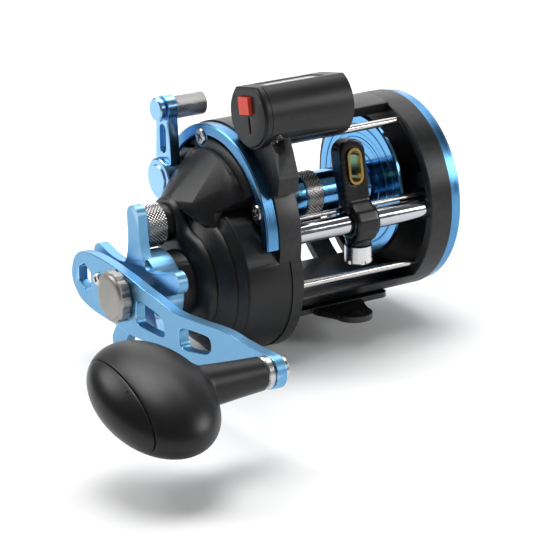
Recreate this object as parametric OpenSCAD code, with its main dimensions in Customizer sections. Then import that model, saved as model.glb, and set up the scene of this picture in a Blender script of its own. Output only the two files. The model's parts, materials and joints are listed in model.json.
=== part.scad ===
// Trolling reel: a level-wind overhead fishing reel with a line counter, a star drag and a
// power handle. X runs along the spool axis (handle towards -X), the line guide faces -Y
// and +Z points away from the rod. The origin is the middle of the foot's underside.

/* [Side plates and frame] */
// Outer radius of the frame rings
ring_r = 37.6; // [37.2:0.1:38.2]
// Outer radius of the blue trim rings
trim_r = 37; // [36.4:0.1:37]
// Height of the ring centres above the foot's underside
ring_z = 38.4; // [38.3:0.1:38.8]
// Thickness of the frame's crossbars
bar_t = 3.6; // [3:0.1:4]

/* [Spool] */
// Spool axis height above the ring centres
spool_z = 4; // [3.8:0.1:4.2]
// Radius of the spool flanges
flange_r = 27; // [25:0.1:27.2]
// Radius of the spool arbor
arbor_r = 8; // [7:0.1:9]
// Inner face of the left flange
spool_x0 = -22; // [-22.5:0.1:-21]
// Inner face of the right flange
spool_x1 = 25; // [24:0.1:25.5]

/* [Gears] */
// Gear module
gear_m = 0.7443; // [0.7443:0.0001:0.7443]
// Teeth on the main gear
main_teeth = 51; // [51:1:51]
// Teeth on the pinion
pinion_teeth = 10; // [10:1:10]
// Teeth on the level-wind drive cog
cog_teeth = 21; // [21:1:21]
// Teeth on the level-wind idler
idler_teeth = 23; // [23:1:23]
// Teeth on the worm gear
worm_teeth = 10; // [10:1:10]

/* [Handle] */
// Distance from the drive shaft to the knob shaft
crank_len = 98; // [96:0.5:106]
// Thickness of the handle arm
arm_t = 4; // [3.4:0.1:4.2]
// Length of the rubber knob along its long axis
knob_len = 55.4; // [52:0.1:60]

/* [Star drag] */
// Number of arms on the star drag
star_arms = 5; // [4:1:6]
// Reach of the star drag's arms from its axis
star_r = 32; // [28:0.5:33]

/* [Line counter] */
// Radius of the counter housing
counter_r = 12.5; // [12:0.1:13]

/* [Hidden] */

foot_x = 4;             // middle of the foot along the spool axis
hy = -9.1;              // drive-shaft axis, across
hz = -16.8;             // drive-shaft axis, up
wy = -31.82;            // worm axis, across
wz = 0.6;               // worm axis, up
cy = -22;               // counter axis, across
cz = 45.2;                // counter axis, up
lx = 3.2;              // line guide's rest position along the worm
// Idler centre: meshes with the cog on the drive shaft and with the worm gear
r_ci = (cog_teeth + idler_teeth) * gear_m / 2;
r_iw = (idler_teeth + worm_teeth) * gear_m / 2;
d_hw = sqrt(pow(wy - hy, 2) + pow(wz - hz, 2));
i_a = (r_ci * r_ci - r_iw * r_iw + d_hw * d_hw) / (2 * d_hw);
i_h = sqrt(max(0, r_ci * r_ci - i_a * i_a));
i_u = [(wy - hy) / d_hw, (wz - hz) / d_hw];
iy = hy + i_a * i_u[0] + i_h * i_u[1];
iz = hz + i_a * i_u[1] - i_h * i_u[0];

black = [0.05, 0.05, 0.055];
blue = [0.36, 0.62, 0.83];
steel = [0.72, 0.72, 0.72];
brass = [0.78, 0.62, 0.33];

// ---- placing helpers: everything below is drawn about the ring centre axis ----
module W() translate([-foot_x, 0, ring_z]) children();
module xcyl(x0, x1, r, y = 0, z = 0, fn = 96)
    translate([x0, y, z]) rotate([0, 90, 0]) cylinder(h = x1 - x0, r = r, $fn = fn);
module xtube(x0, x1, ro, ri, y = 0, z = 0)
    difference() { xcyl(x0, x1, ro, y, z); xcyl(x0 - 1, x1 + 1, ri, y, z); }
module ycyl(y0, y1, r, x, z, fn = 48)
    translate([x, y1, z]) rotate([90, 0, 0]) cylinder(h = y1 - y0, r = r, $fn = fn);
module zcyl(z0, z1, r, x, y, fn = 48)
    translate([x, y, z0]) cylinder(h = z1 - z0, r = r, $fn = fn);
// Solid of revolution about an axis along X; the profile is [radius, x]
module xrev(y = 0, z = 0)
    translate([0, y, z]) rotate([0, 90, 0]) rotate_extrude($fn = 128) children();
// Part of a ring about an axis along X, from angle a0 to a1, measured from +Y towards +Z
module xarc(x0, x1, ri, ro, a0, a1, y = 0, z = 0)
    translate([0, y, z]) rotate([0, 90, 0]) rotate([0, 0, a0 + 90])
        rotate_extrude(angle = a1 - a0, $fn = 128) translate([ri, x0]) square([ro - ri, x1 - x0]);
// Outline in [y, z], extruded along X
module xprism(x0, x1) translate([x0, 0, 0]) rotate([90, 0, 90]) linear_extrude(x1 - x0) children();
// Outline in [x, z], extruded along Y
module yprism(y0, y1) translate([0, y1, 0]) rotate([90, 0, 0]) linear_extrude(y1 - y0) children();
// Point at radius r and angle a about the centre c
function pt(c, r, a) = [c[0] + r * cos(a), c[1] + r * sin(a)];
// Stadium outline from p to q
module stadium(p, q, r, fn = 48) {
    v = q - p; n = [-v[1], v[0]] / norm(v) * r;
    translate(p) circle(r, $fn = fn);
    translate(q) circle(r, $fn = fn);
    polygon([p + n, q + n, q - n, p - n]);
}

function stad_pts(h, r, n = 24) = concat([for (i = [0:n]) [r * cos(180 * i / n), h + r * sin(180 * i / n)]],
    [for (i = [0:n]) [-r * cos(180 * i / n), -h - r * sin(180 * i / n)]]);

// ---- gears ----
function inv(a) = tan(a) * 180 / PI - a;
function flank(rb, r) = rb >= r ? 0 : inv(acos(rb / r));
// One spur gear outline; thin is the share of the pitch the tooth fills
module gear2d(n, rot = 0, thin = 0.42, add = 0.9, ded = 1.2) {
    rp = n * gear_m / 2; rb = rp * cos(20); ra = rp + add * gear_m; rf = rp - ded * gear_m;
    half = 180 * thin / n; base = half + flank(rb, rp);
    rs = [for (i = [0:3]) max(rb, rf + 0.01) + (ra - max(rb, rf + 0.01)) * i / 3];
    polygon([for (k = [0:n - 1]) let(a = rot + 360 * k / n) each concat(
        [pt([0, 0], rf, a - base)],
        [for (i = [0:3]) pt([0, 0], rs[i], a - (base - flank(rb, rs[i])))],
        [for (i = [3:-1:0]) pt([0, 0], rs[i], a + (base - flank(rb, rs[i])))],
        [pt([0, 0], rf, a + base)])]);
}
module xgear(x0, x1, n, y, z, rot) translate([0, y, z]) xprism(x0, x1) gear2d(n, rot);
// Angles that put each pair in mesh at rest
a_mp = atan2(spool_z - hz, 0 - hy);                       // main gear to pinion
rot_main = a_mp;                                          // a tooth towards the pinion
rot_pin = a_mp + 180 + 180 / pinion_teeth;                // a gap towards the main gear
a_ci = atan2(iz - hz, iy - hy);
rot_cog = a_ci;
a_iw = atan2(wz - iz, wy - iy);
rot_idl = a_ci + 180 + 180 / idler_teeth;
// Phase of the idler along the line to the worm gear, and the worm gear's matching gap
ph_i = ((a_iw - rot_idl) * idler_teeth / 360) - floor((a_iw - rot_idl) * idler_teeth / 360);
rot_wrm = a_iw + 180 + (ph_i + 0.5) * 360 / worm_teeth;

// ---- smooth outline round two circles with concave fillets between them ----
function blend_pts(c1, r1, c2, r2, rf, n) =
    let(d = norm(c2 - c1), a0 = atan2(c2[1] - c1[1], c2[0] - c1[0]),
        A = r1 + rf, B = r2 + rf,
        ca = (A * A + d * d - B * B) / (2 * A * d), al = acos(min(1, max(-1, ca))),
        cf = pt(c1, A, a0 + al), cg = pt(c1, A, a0 - al),
        b1 = atan2(cf[1] - c2[1], cf[0] - c2[0]), b2 = atan2(cg[1] - c2[1], cg[0] - c2[0]),
        be = (((b1 - a0) % 360) + 360) % 360)
    concat(
        // big circle, the long way round
        [for (i = [0:n]) pt(c1, r1, a0 + al + (360 - 2 * al) * i / n)],
        // fillet on the far side
        [for (i = [1:n / 4 - 1]) let(s = a0 - al + 180, e = a0 - be + 180) pt(cg, rf, s + (e - s) * i / (n / 4))],
        // small circle
        [for (i = [0:n / 2]) pt(c2, r2, a0 - be + 2 * be * i / (n / 2))],
        [for (i = [1:n / 4 - 1]) let(s = a0 + be + 180, e = a0 + al + 180) pt(cf, rf, s + (e - s) * i / (n / 4))]);
// Loft through stations [x, r1, r2, rf]; its ends are fans about a point between the two axes
module boss_loft(st, n = 48) {
    rings = [for (s = st) let(p = blend_pts([hy, hz], s[1], [0, spool_z], s[2], s[3], n))
        [for (q = p) [s[0], q[0], q[1]]]];
    m = len(rings[0]); k = len(rings);
    cm = [hy + 0.4 * (0 - hy), hz + 0.4 * (spool_z - hz)];
    polyhedron(points = concat([for (r = rings) each r], [[st[0][0], cm[0], cm[1]], [st[k - 1][0], cm[0], cm[1]]]),
        faces = concat([for (j = [0:m - 1]) [k * m, j, (j + 1) % m]],
            [for (j = [0:m - 1]) [k * m + 1, (k - 1) * m + (j + 1) % m, (k - 1) * m + j]],
            [for (i = [0:k - 2]) for (j = [0:m - 1]) let(a = i * m + j, b = i * m + (j + 1) % m) each
                [[a, b + m, b], [a, a + m, b + m]]]));
}

screw_a = [77, 160, 4, -40];         // angles of the ring screws
screw_r = 32.2;                      // their distance from the ring centre

// ---- frame ----
module frame() color(black) W() difference() {
    union() {
        xrev() polygon([[34.5, 31.5], [ring_r - 0.5, 31.5], [ring_r, 32], [ring_r, 41], [34.5, 41]]);
        difference() {
            union() {
                xrev() polygon([[0, -35.5], [ring_r, -35.5], [ring_r, -26.5], [ring_r - 0.5, -26], [0, -26]]);
                xrev(hy, hz) polygon([[0, -31], [29.7, -31], [29.7, -26.5], [29.2, -26], [0, -26]]);
            }
            xcyl(-36, -28.5, 34);
            xcyl(-36, -28.5, 27.2, hy, hz);
            xcyl(-36, -28.5, 4.8, wy, wz);
        }
        // screw bosses
        for (a = screw_a) translate([0, 0, 0]) let(p = pt([0, 0], screw_r, a)) {
            difference() { xcyl(-35.5, -28, 2.9, p[0], p[1], 48); }
            xcyl(31.8, 38, 2.9, p[0], p[1], 48);
        }
        // crossbars: thumb bar, rear bar, rear strut and base
        xarc(-27, 32.5, ring_r - bar_t, ring_r, 58, 104.6);
        xarc(-27, 32.5, ring_r - bar_t, ring_r, -24, -7);
        xarc(18, 27, ring_r - bar_t + 0.4, ring_r - 0.2, -72, -15);
        intersection() {
            xcyl(-27, 32.5, ring_r);
            xprism(-28, 33) polygon([[-25.5, -36], [20, -36], [22, -33], [18.5, -29.2], [-13, -29.2],
                [-14, -31.5], [-19, -31.5], [-20, -29], [-24, -27.5], [-26.5, -27.2], [-27, -31.5], [-25, -32.5]]);
        }
        // counter pedestal and leg
        intersection() {
            union() {
                xprism(-35.4, -27) polygon([[-29, 16], [-36.5, 18], [-37.5, 24], [-34, 33], [-30.5, 40], [-12, 40], [-10, 34], [-24, 26]]);
                xprism(-35.4, -6) polygon([[-31.5, 36.6], [-31.5, 39.3], [-12.4, 39.3], [-10, 35], [-14, 33.6], [-27, 34]]);
            }
            union() {
                xprism(-36, -26) polygon([[-50, 10], [-50, 60], [0, 60], [0, 10]]);
                yprism(-60, 0) polygon([[-27, 25], [-14, 36], [-6, 36], [-6, 60], [-27, 60]]);
            }
        }
        // rear tie between the pedestal and the thumb bar
        xprism(-26.5, -6) polygon([[-14, 33.4], [-14, 37], [-8, 37.2], [-8, 34]]);
    }
    // spool shaft, worm and idler holes through the left wall
    xcyl(-29, -25, 5.2, 0, spool_z);
    xcyl(-29, -25.9, 4.0, wy, wz);
    // ring screw holes
    for (a = screw_a) let(p = pt([0, 0], screw_r, a)) {
        xcyl(-36, -30, 1.15, p[0], p[1], 32);
        xcyl(33, 39, 1.15, p[0], p[1], 32);
    }
    // rods
    xcyl(-29, -25, 1.5, -25, -22, 32); xcyl(31, 34, 1.5, -25, -22, 32);
    xcyl(-29, -25, 1.5, -15.5, 31, 32); xcyl(31, 34, 1.5, -15.5, 31, 32);
    xcyl(-29, -25, 1.0, -28.4, 5.0, 32); xcyl(31, 34, 1.0, -28.4, 5.0, 32);
    // right end of the level-wind tube
    xcyl(31, 36, 3.96, wy, wz);
    // saddle for the counter
    xprism(-40, c_x1 + 0.1) translate([cy, cz]) circle(counter_r + 0.02, $fn = 128);
    // clear of the counter's end-cap screw
    translate([-35.6, cy, cz]) rotate([38, 0, 0]) translate([3.3, -counter_r - 5, 0]) rotate([-90, 0, 0]) cylinder(h = 7, r = 2.7, $fn = 48);
    // opening over the counter drive
    xcyl(-30.5, -26.9, 4.2, cy + 1, 30.5, 48);
    // foot screw holes
    for (x = [-14, 22]) for (y = [-9, 9]) zcyl(-40, -31, 1.3, x, y, 32);
}

module foot() color(black) W() difference() {
    union() {
        // saddle
        translate([0, 0, -38]) linear_extrude(2) translate([foot_x, 0]) {
            square([48, 24], center = true);
            square([42, 30], center = true);
            for (sx = [-1, 1]) for (sy = [-1, 1]) translate([sx * 21, sy * 12]) circle(3, $fn = 48);
        }
        // blades
        translate([0, 0, -38.4]) linear_extrude(2.2) translate([foot_x, 0]) polygon(concat(
            [for (i = [0:12]) let(t = i / 12) [10.5 - 3.6 * t * t * (3 - 2 * t), -15 - 12 * t]],
            [for (i = [0:10]) pt([0, -26.5], 6.9, -2 - 176 * i / 10)],
            [for (i = [12:-1:0]) let(t = i / 12) [-10.5 + 3.6 * t * t * (3 - 2 * t), -15 - 12 * t]],
            [for (i = [0:12]) let(t = i / 12) [-10.5 + 3.6 * t * t * (3 - 2 * t), 15 + 12 * t]],
            [for (i = [0:10]) pt([0, 26.5], 6.9, 178 - 176 * i / 10)],
            [for (i = [12:-1:0]) let(t = i / 12) [10.5 - 3.6 * t * t * (3 - 2 * t), 15 + 12 * t]]));
    }
    for (x = [-14, 22]) for (y = [-9, 9]) {
        zcyl(-39, -35, 1.5, x, y, 32);
        zcyl(-39, -37, 2.6, x, y, 32);
    }
}
module foot_screws() color(steel) W() for (x = [-14, 22]) for (y = [-9, 9]) difference() {
    union() { zcyl(-37.9, -37, 2.5, x, y, 32); zcyl(-37.2, -31.2, 1.3, x, y, 32); }
    zcyl(-38.5, -37.4, 1.1, x, y, 6);
}

// ---- handle-side plate with the gear housing ----
module gear_side_plate() color(black) W() difference() {
    union() {
        // plate inside the trim ring
        xcyl(-38, -35.4, 32.3);
        // raised panel: flat behind the lever, sloping out to the gear housing in front of it
        difference() {
            intersection() {
                // bevelled down to the ring
                xrev() polygon([[0, -60], [15, -60], [29.2, -45], [31.9, -39.6], [31.9, -37], [0, -37]]);
                xprism(-61, -36) translate([-60, -2]) square([120, 60]);
                union() {
                    xcyl(-41.8, -37, 40);
                    intersection() {
                        hull() { xcyl(-43.6, -41, 28.4, 0, 0); xcyl(-59.2, -57, 9.3, 0, spool_z); xcyl(-56.6, -55, 8.6, -9.4, 5.4); xcyl(-50.4, -49, 9.6, -15.8, 7.2); }
                        xprism(-60, -37) polygon([[-40, -0.6], [-30, 2.4], [0, 12.8], [3, 6], [10, 6], [10, 40], [-40, 40]]);
                    }
                    xrev(hy, hz) polygon([[0, -47.8], [29.5, -47.8], [29.9, -46.4], [30.7, -44.7], [32, -43.3], [34, -42.3], [37, -41.8], [37, -37], [0, -37]]);
                }
            }
            // pockets beside the screw lugs
            xprism(-62, -38) for (a = [screw_a[0], screw_a[1], screw_a[2]]) let(p = pt([0, 0], screw_r, a)) translate(p) rotate(a) circle(5.4, $fn = 6);
            xprism(-62, -38) polygon([[-29.5, 19], [-20, 10.4], [-21.4, 4.2], [-31, 1.6], [-40, 4], [-40, 18]]);
            xprism(-62, -38) polygon([[6, 34], [7.5, 28.5], [11, 26.2], [18.5, 24.8], [22, 27], [14, 36]]);
        }
        // gear housing: a cylinder, then a stepped cone round the drive shaft that is
        // blended into the cast-control boss
        xrev(hy, hz) polygon([[0, -49.2], [28.8, -49.2], [29.25, -48.6], [29.25, -31.02], [0, -31.02]]);
        boss_loft([[-61.5, 13.2, 8.6, 8], [-60.9, 14.4, 9.0, 8], [-60.2, 18.6, 9.2, 8], [-59.4, 19.7, 9.4, 8], [-57.6, 20.4, 9.5, 9],
            [-57.0, 20.0, 9.4, 9], [-54.9, 23.7, 9.7, 10], [-53.9, 24.7, 9.9, 10], [-52.1, 25.6, 10.1, 12], [-51.6, 25.3, 10.0, 12],
            [-49.9, 28.1, 10.6, 18], [-49.0, 28.8, 10.9, 24]], 36);
        // shoulder that carries the boss back to the panel
        boss_loft([[-49.3, 28.7, 10.9, 40], [-44, 28.9, 12, 40]], 36);
        // collar round the one-way bearing, and the cast-control boss
        xcyl(-67, -61, 12.4, hy, hz);
        xcyl(-66.5, -61, 7.2, 0, spool_z);
        // lever boss
        xcyl(-43.4, -37, 7, 21.6, 13.4, 64);
    }
    // seat for the frame's left ring
    xcyl(-35.5, -30, ring_r + 0.02);
    // gear cavity
    xcyl(-47.4, -30, 27.2, hy, hz);
    xcyl(-51.6, -47, 22.6, hy, hz);
    xcyl(-57.2, -51, 17.2, hy, hz);
    xcyl(-61.2, -57, 9.1, hy, hz);
    xcyl(-67.5, -61, 9.1, hy, hz);
    // pinion and spool-shaft passage
    xcyl(-62, -35, 6.4, 0, spool_z);
    xcyl(-67, -61.9, 5.0, 0, spool_z);
    // lever shaft and cam pocket
    xcyl(-44, -35, 2.05, 21.6, 13.4, 48);
    xcyl(-36.9, -35, 8.2, 21.6, 13.4, 64);
    // room for the yoke's arms
    translate([0, 0, spool_z]) rotate([atan2(spool_z - hz, -hy), 0, 0]) translate([-46.8, -3, -11]) cube([12, 6, 22]);
    // ring screw holes
    for (a = screw_a) let(p = pt([0, 0], screw_r, a)) xcyl(-39, -35, 3.0, p[0], p[1], 48);
}
module left_trim_ring() color(blue) W() difference() {
    union() {
        difference() {
            xrev() polygon([[32.45, -39.9], [33, -40.5], [trim_r - 0.5, -40.5], [trim_r, -40], [trim_r, -35.52], [32.45, -35.52]]);
            // the gear housing takes the ring's lower front quarter
            xcyl(-42, -35, 29.6, hy, hz);
            xprism(-42, -35) polygon([[0, 0], pt([0, 0], 60, -62), pt([0, 0], 60, -90), pt([0, 0], 60, -120), pt([0, 0], 60, -150), pt([0, 0], 60, -177)]);
        }
        for (a = screw_a) let(p = pt([0, 0], screw_r, a)) xcyl(-40.42, -38.02, 4.15, p[0], p[1], 64);
    }
    // countersinks and screw holes
    for (a = screw_a) let(p = pt([0, 0], screw_r, a)) {
        xcyl(-41, -39.6, 3.3, p[0], p[1], 48);
        xcyl(-41, -35, 1.3, p[0], p[1], 48);
    }
    // clear of the counter pedestal
    xcyl(-42, -35, 29.6, hy, hz);
}
module cap_screw(x_head, x_tip, p, rh, hh, rs) difference() {
    union() {
        if (x_tip > x_head) {
            xrev(p[0], p[1]) polygon([[0, x_head], [rh - 0.4, x_head], [rh, x_head + 0.4], [rh, x_head + hh], [rs, x_head + hh], [rs, x_tip], [0, x_tip]]);
        } else {
            xrev(p[0], p[1]) polygon([[0, x_tip], [rs, x_tip], [rs, x_head - hh], [rh, x_head - hh], [rh, x_head - 0.4], [rh - 0.4, x_head], [0, x_head]]);
        }
    }
    translate([x_head, p[0], p[1]]) rotate([20, 0, 0]) { cube([2.2, 0.8, rh * 1.1], center = true); cube([2.2, rh * 1.1, 0.8], center = true); }
}
module plate_screws() color(steel) W() for (a = screw_a) {
    cap_screw(-41.2, -31, pt([0, 0], screw_r, a), 3.1, 1.6, 1.15);
    cap_screw(44.5, 33.5, pt([0, 0], screw_r, a), 3.1, 1.5, 1.15);
}

module bridge_plate() color(steel) W() difference() {
    intersection() {
        union() { xcyl(-38.6, -36.8, 26.6, hy, hz); }
        xcyl(-40, -35, 33);
    }
    xcyl(-40, -35, 5.6, 0, spool_z);
    xcyl(-40, -35, 4.06, hy, hz);
    xcyl(-40, -35, 2.0, hy + 12, hz - 14, 32);
    xcyl(-40, -35, 1.5, iy, iz, 32);
}

// ---- right-hand end ----
module right_side_plate() color(black) W() difference() {
    union() {
        xcyl(36, 38.4, 34.4);
        xcyl(29.2, 36.5, 7.4, 0, spool_z);
        xrev(0, spool_z) polygon([[7, 33.4], [7, 36.5], [13, 36.5], [13, 36]]);
        // bush for the level-wind tube
        intersection() { xcyl(32.8, 36.5, 5.6, wy, wz); xcyl(30, 38, 34.35); }
    }
    xcyl(29, 33.2, 5.0, 0, spool_z);
    xcyl(28, 40, 2.8, 0, spool_z);
    xcyl(30, 34.05, 3.96, wy, wz);
    xcyl(30, 36, 1.66, wy, wz);
    xcyl(31, 34.05, 1.0, -28.4, 5.0, 32);
    for (a = screw_a) let(p = pt([0, 0], screw_r, a)) { xcyl(35, 38.01, 3.0, p[0], p[1], 48); xcyl(35, 40, 1.3, p[0], p[1], 48); }
    // slot for the clicker stem
    translate([28, -1.6, 10.9]) cube([12, 3.2, 7.2]);
}
module right_side_cover() color(black) W() difference() {
    union() {
        xrev() polygon([[0, 38.4], [34.4, 38.4], [34.4, 41], [31.9, 41], [31.9, 44.9], [31, 46.2], [29, 47.1],
            [24, 48.2], [18, 49.2], [10, 49.9], [0, 50.1]]);
    }
    difference() {
        xrev() polygon([[0, 38.3], [29.5, 38.3], [29.5, 44], [24, 46], [10, 47.9], [0, 48.1]]);
        for (a = [77, 160, -50]) let(p = pt([0, 0], 29.5, a)) xcyl(38, 46, 3, p[0], p[1], 32);
    }
    for (a = screw_a) let(p = pt([0, 0], screw_r, a)) { xcyl(38, 41.5, 1.3, p[0], p[1], 48); xcyl(40.9, 47, 4.6, p[0], p[1], 48); }
    // slot for the clicker button
    translate([38, -1.6, 10.9]) cube([14, 3.2, 7.2]);
    xprism(47.8, 53) { polygon([[-4.3, 12.2], [4.3, 12.2], [4.3, 16.3], [-4.3, 16.3]]); translate([0, 16.3]) circle(4.3, $fn = 64); translate([0, 12.2]) circle(4.3, $fn = 64); }
}
module right_trim_ring() color(blue) W() difference() {
    union() {
        xrev() polygon([[32, 41.02], [trim_r, 41.02], [trim_r, 45.2], [trim_r - 0.5, 45.76], [32.6, 45.76], [32, 45.2]]);
        for (a = screw_a) let(p = pt([0, 0], screw_r, a)) xcyl(41.02, 44, 4.3, p[0], p[1], 64);
    }
    for (a = screw_a) let(p = pt([0, 0], screw_r, a)) { xcyl(43, 47, 3.3, p[0], p[1], 48); xcyl(40, 47, 1.3, p[0], p[1], 48); }
}

// ---- spool ----
module spool() color(blue) W() xrev(0, spool_z) difference() {
    polygon([[2.46, spool_x0 - 4], [6, spool_x0 - 4], [6, spool_x0 - 2.2], [flange_r - 1, spool_x0 - 2.2], [flange_r, spool_x0 - 1.4],
        [flange_r, spool_x0 - 0.4], [flange_r - 0.5, spool_x0], [arbor_r + 1.5, spool_x0], [arbor_r + 0.4, spool_x0 + 0.5], [arbor_r, spool_x0 + 1.6],
        [arbor_r, -3.9], [arbor_r - 0.6, -3.9], [arbor_r - 0.6, 3.3], [arbor_r, 3.3],
        [arbor_r, spool_x1 - 1.6], [arbor_r + 0.4, spool_x1 - 0.5], [arbor_r + 1.5, spool_x1],
        [12.6, spool_x1], [12.8, spool_x1 + 0.25], [13, spool_x1], [17.8, spool_x1], [18, spool_x1 + 0.25], [18.2, spool_x1],
        [22.45, spool_x1], [22.65, spool_x1 + 0.25], [22.85, spool_x1],
        [flange_r - 0.5, spool_x1], [flange_r, spool_x1 + 0.4], [flange_r, spool_x1 + 1.4], [flange_r - 1, spool_x1 + 2.2],
        [2.46, spool_x1 + 2.2]]);
}
module spool_shaft() color(steel) W() {
    xrev(0, spool_z) polygon([[0, -68.2], [1.6, -68.2], [2.46, -67.4], [2.46, 33.4], [2, 34], [0, 34]]);
    // drive dog across the shaft
    translate([-38.2, -4.2, spool_z - 0.9]) cube([1.6, 8.4, 1.8]);
}
module click_gear() color(brass) W() difference() {
    xprism(spool_x1 + 2.22, spool_x1 + 3.4) translate([0, spool_z]) polygon([for (k = [0:23]) each
        [pt([0, 0], 9.4, 15 * k), pt([0, 0], 10.5, 15 * k + 5.4), pt([0, 0], 10.5, 15 * k + 9.6)]]);
    xcyl(spool_x1 + 1, spool_x1 + 5, 5, 0, spool_z);
}
module line_grip_band() color(steel) W() difference() {
    xprism(-3.88, 3.28) translate([0, spool_z]) polygon([for (k = [0:71]) each
        [pt([0, 0], arbor_r + 0.75, 5 * k), pt([0, 0], arbor_r + 0.45, 5 * k + 2.5)]]);
    xcyl(-5, 5, arbor_r - 0.6, 0, spool_z);
}
module bearing(x0, x1, ri, ro, y, z) {
    xtube(x0, x1, ro, ro - 0.9, y, z);
    xtube(x0, x1, ri + 0.9, ri, y, z);
    xtube(x0 + 0.5, x1 - 0.5, ro - 0.88, ri + 0.88, y, z);
}
module spool_bearings() color(steel) W() {
    bearing(-65.6, -62, 2.5, 4.98, 0, spool_z);
    bearing(29.6, 33.1, 2.5, 4.98, 0, spool_z);
}
module cast_control_cap() color(steel) W() difference() {
    union() {
        xprism(-72.2, -64.4) translate([0, spool_z]) polygon([for (k = [0:59]) each
            [pt([0, 0], 8.25, 6 * k), pt([0, 0], 7.95, 6 * k + 3)]]);
        xrev(0, spool_z) polygon([[0, -73.4], [6.4, -73.4], [7.4, -73], [7.9, -72.2], [7.9, -64.2], [0, -64.2]]);
    }
    xcyl(-70.4, -64, 7.26, 0, spool_z);
}
module tension_shims() color(brass) W() {
    xcyl(-70.35, -69.6, 6.2, 0, spool_z);
    xcyl(-69.6, -68.4, 4.4, 0, spool_z);
}

// ---- clutch ----
ly = 21.6; lz = 13.4;
module clutch_lever() color(blue) W() difference() {
    union() {
        xrev(ly, lz) polygon([[0, -51], [7.4, -51], [8, -50.5], [8, -43.5], [0, -43.5]]);
        xprism(-48.4, -44.4) {
            polygon([[ly - 5.6, lz + 4], [ly - 4.2, lz + 26.6], [ly + 4.2, lz + 26.6], [ly + 5.6, lz + 4]]);
            translate([ly, lz + 26.6]) circle(5, $fn = 64);
        }
    }
    // finger slot in the lever's face
    xprism(-49, -46.6) stadium([ly, lz + 12], [ly, lz + 18.6], 2.2);
    xcyl(-52, -43, 2.5, ly, lz, 48);
    xcyl(-50, -40, 1.6, ly, lz + 26.6, 48);
}
module lever_cap_screw() color(blue) W() {
    xrev(ly, lz + 26.6) polygon([[0, -51.4], [4, -51.4], [4.5, -50.9], [4.5, -49.4], [3.4, -48.4], [0, -48.4]]);
    xcyl(-48.4, -40, 1.58, ly, lz + 26.6, 48);
    xrev(ly, lz) polygon([[0, -51.6], [5.2, -51.6], [5.6, -51.2], [5.6, -51.02], [0, -51.02]]);
}
module lever_knob() color(steel) W() difference() {
    union() {
        xprism(-42.6, -32.4) translate([ly, lz + 26.6]) polygon([for (k = [0:39]) each
            [pt([0, 0], 4.7, 9 * k), pt([0, 0], 4.45, 9 * k + 4.5)]]);
        xrev(ly, lz + 26.6) polygon([[0, -44.38], [3.6, -44.38], [3.6, -43.4], [4.4, -42.8], [4.4, -32], [3.6, -31], [0, -31]]);
    }
    xcyl(-45, -39.9, 1.6, ly, lz + 26.6, 48);
}
module clutch_cam() color(steel) W() {
    xcyl(-51.01, -36.2, 2.0, ly, lz, 48);
    xcyl(-51.0, -43.6, 2.48, ly, lz, 48);
    xprism(-36.6, -35.6) { translate([ly, lz]) circle(3.4, $fn = 48); translate([ly, lz]) polygon([[0, 3.2], [-7.5, 1.6], [-7.5, -1.4], [0, -3.2]]); }
}
module pinion_yoke() color(brass) W() difference() {
    union() {
        xcyl(-42.4, -41.1, 5.9, 0, spool_z, 64);
        translate([0, 0, spool_z]) rotate([atan2(spool_z - hz, -hy), 0, 0]) translate([-42.4, -2.4, -10.2]) cube([1.3, 4.8, 20.4]);
    }
    xcyl(-49, -40, 4.2, 0, spool_z);
    for (sx = [-1, 1]) translate([0, 0, spool_z]) rotate([atan2(spool_z - hz, -hy), 0, 0]) translate([-43, 0, sx * 8.4]) rotate([0, 90, 0]) cylinder(h = 3, r = 1.06, $fn = 32);
}
module yoke_posts() color(steel) W() for (sx = [-1, 1]) translate([0, 0, spool_z]) rotate([atan2(spool_z - hz, -hy), 0, 0])
    translate([-46.79, 0, sx * 8.4]) rotate([0, 90, 0]) cylinder(h = 8.1, r = 1.0, $fn = 32);
module pinion() color(brass) W() difference() {
    union() {
        xgear(-57, -43.2, pinion_teeth, 0, spool_z, rot_pin);
        xcyl(-43.25, -42.5, 5.2, 0, spool_z);
        xcyl(-42.6, -40.9, 4.1, 0, spool_z);
        xcyl(-41, -36.5, 5.4, 0, spool_z);
    }
    xcyl(-58, -35, 2.53, 0, spool_z);
    // slot for the shaft's drive dog
    translate([-40.2, -7, spool_z - 1.05]) cube([5, 14, 2.1]);
}

// ---- drag and drive ----
module main_gear() color(brass) W() difference() {
    xgear(-51, -46.5, main_teeth, hy, hz, rot_main);
    xcyl(-52, -47.9, 16.6, hy, hz);
    xcyl(-52, -45, 4.06, hy, hz);
}
module drag_washers() color([0.15, 0.15, 0.15]) W() for (i = [0:2])
    xtube(-48.9 - i * 1.0, -48.02 - i * 1.0, 16, 4.1, hy, hz);
module drag_spring() color(steel) W() xrev(hy, hz) polygon([[4.1, -58.4], [7.6, -57.2], [7.6, -55.6], [5.6, -54.4], [9.6, -51.1], [8.4, -51.1], [4.4, -54.2], [4.1, -56]]);
module drive_shaft() color(steel) W() {
    difference() {
        xrev(hy, hz) polygon([[0, -90.3], [2.9, -90.3], [3.2, -90], [3.2, -86.2], [4, -86.2], [4, -29.2], [3.4, -28.7], [0, -28.7]]);
        // hexagonal drive for the handle is carried by the arm
    }
    // one-way bearing sleeve
    xtube(-66.8, -61.4, 5.4, 4, hy, hz);
    // level-wind drive cog
    difference() { xgear(-34, -30.6, cog_teeth, hy, hz, rot_cog); xcyl(-36, -29, 4, hy, hz); }
    xcyl(-36.6, -34, 5, hy, hz);
}
module anti_reverse_ratchet() color(steel) W() difference() {
    xprism(-44.6, -43) translate([hy, hz]) polygon([for (k = [0:7]) each
        [pt([0, 0], 12, 45 * k), pt([0, 0], 9.2, 45 * k + 6), pt([0, 0], 9.6, 45 * k + 20), pt([0, 0], 11, 45 * k + 38)]]);
    xcyl(-46, -42, 4, hy, hz);
}
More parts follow.
